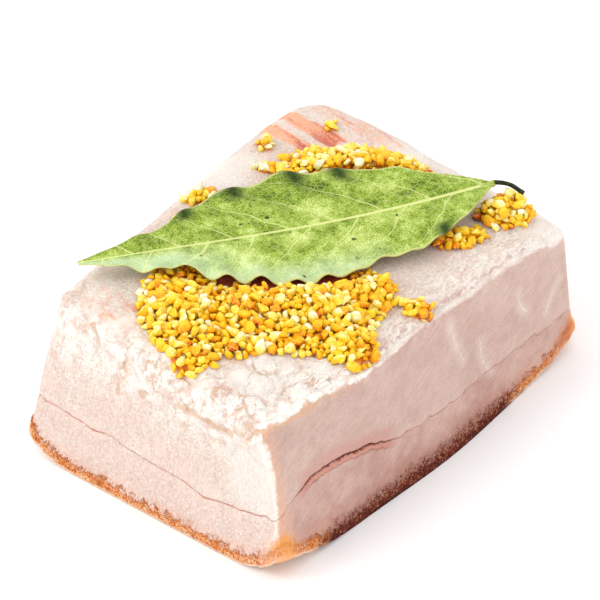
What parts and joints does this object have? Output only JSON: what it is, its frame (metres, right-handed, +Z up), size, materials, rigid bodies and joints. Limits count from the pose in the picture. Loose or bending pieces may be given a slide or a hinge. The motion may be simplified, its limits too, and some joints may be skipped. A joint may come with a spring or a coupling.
{
  "type": "salted pork back fat",
  "caption": "Hand-cut slab of salted pork back fat lying on its rind, strewn with golden garlic granules under a wavy dried bay leaf.",
  "frame": {"origin": "under the middle of the slab, on the surface that it lies on", "axes": "+X along the slab's length towards the leaf's stalk, -Y out of the long front face, +Z up"},
  "size_m": [0.0873, 0.064, 0.0371],
  "materials": {
    "fat": "waxy pinkish white fat, soft satin, with a brown speckled rind along the base",
    "granules": "golden yellow, slightly translucent dried granules",
    "leaf": "dried leaf, satin mid green with pale veins and a dark stalk"
  },
  "bodies": {
    "root": {"fat_slab": "fat", "bay_leaf": "leaf"}
  },
  "joints": []
}
